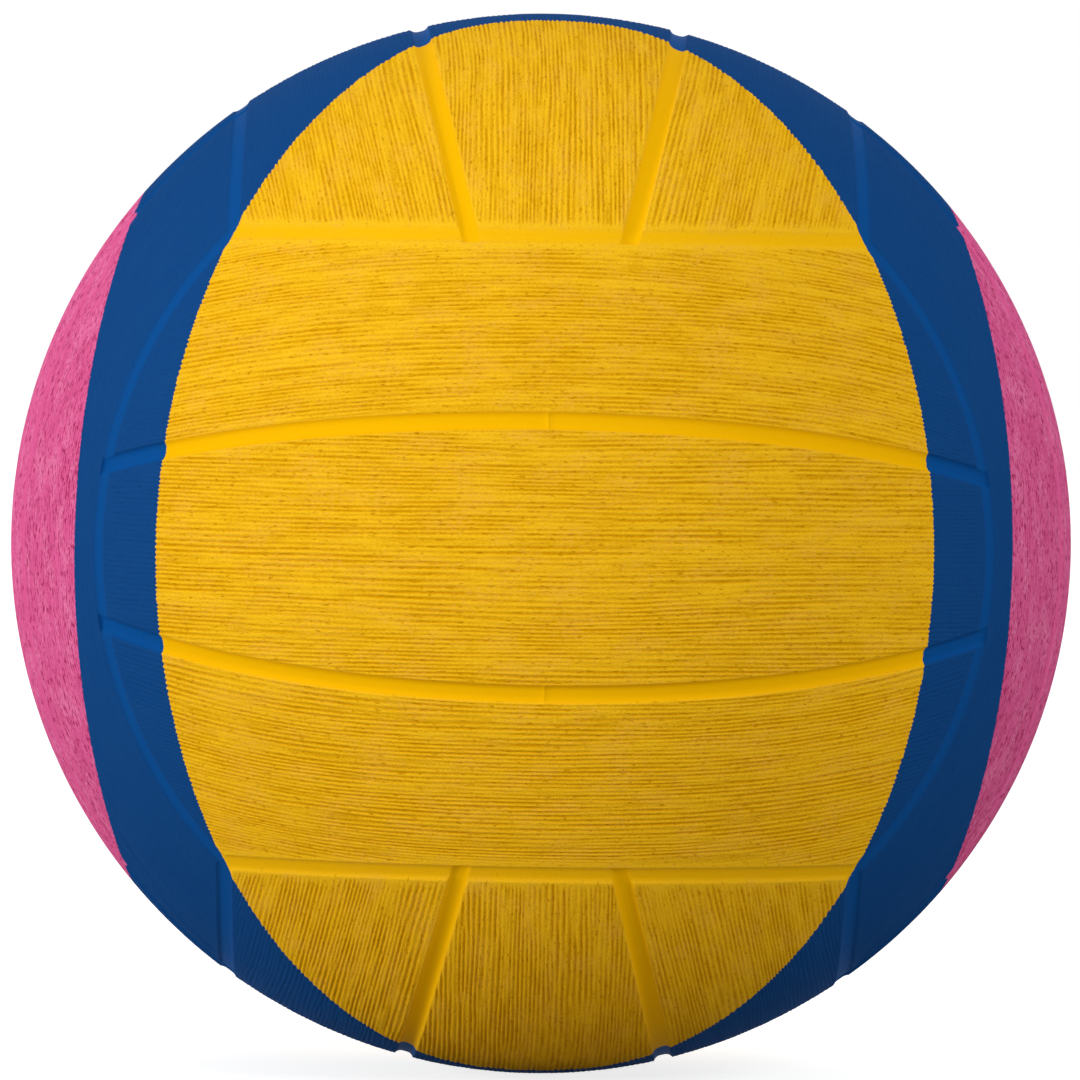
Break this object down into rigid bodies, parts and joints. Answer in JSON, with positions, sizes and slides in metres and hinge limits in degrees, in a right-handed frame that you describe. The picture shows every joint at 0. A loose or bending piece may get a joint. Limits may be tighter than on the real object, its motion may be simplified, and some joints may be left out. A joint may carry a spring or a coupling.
{
  "type": "water polo ball",
  "caption": "Water polo ball with a ribbed rubber cover of strip panels joined by smooth troughs, over a casing, a thread winding and a bladder with a needle valve.",
  "frame": {"origin": "centre of the ball", "axes": "+Z out through the valve, -Y the front face with the level strips, +X to the right of the front"},
  "size_m": [0.1878, 0.1878, 0.1877],
  "materials": {
    "yellow_rubber": "matte, fine moulded ribs",
    "blue_rubber": "matte, fine moulded ribs",
    "pink_rubber": "matte, fine moulded ribs",
    "tan_rubber": "matte",
    "black_rubber": "matte",
    "grey_rubber": "matte",
    "nylon_thread": "wound thread"
  },
  "bodies": {
    "root": {"bladder": "black_rubber", "valve_housing": "black_rubber", "valve_core": "grey_rubber", "thread_winding": "nylon_thread", "rubber_casing": "tan_rubber", "front_upper_panel": "yellow_rubber", "front_middle_panel": "yellow_rubber", "front_lower_panel": "yellow_rubber", "back_upper_panel": "yellow_rubber", "back_middle_panel": "yellow_rubber", "back_lower_panel": "yellow_rubber", "top_left_panel": "blue_rubber", "top_middle_panel": "yellow_rubber", "top_right_panel": "blue_rubber", "bottom_left_panel": "blue_rubber", "bottom_middle_panel": "yellow_rubber", "bottom_right_panel": "blue_rubber", "left_front_panel": "pink_rubber", "left_middle_panel": "pink_rubber", "left_back_panel": "pink_rubber", "right_front_panel": "pink_rubber", "right_middle_panel": "pink_rubber", "right_back_panel": "pink_rubber"}
  },
  "joints": []
}
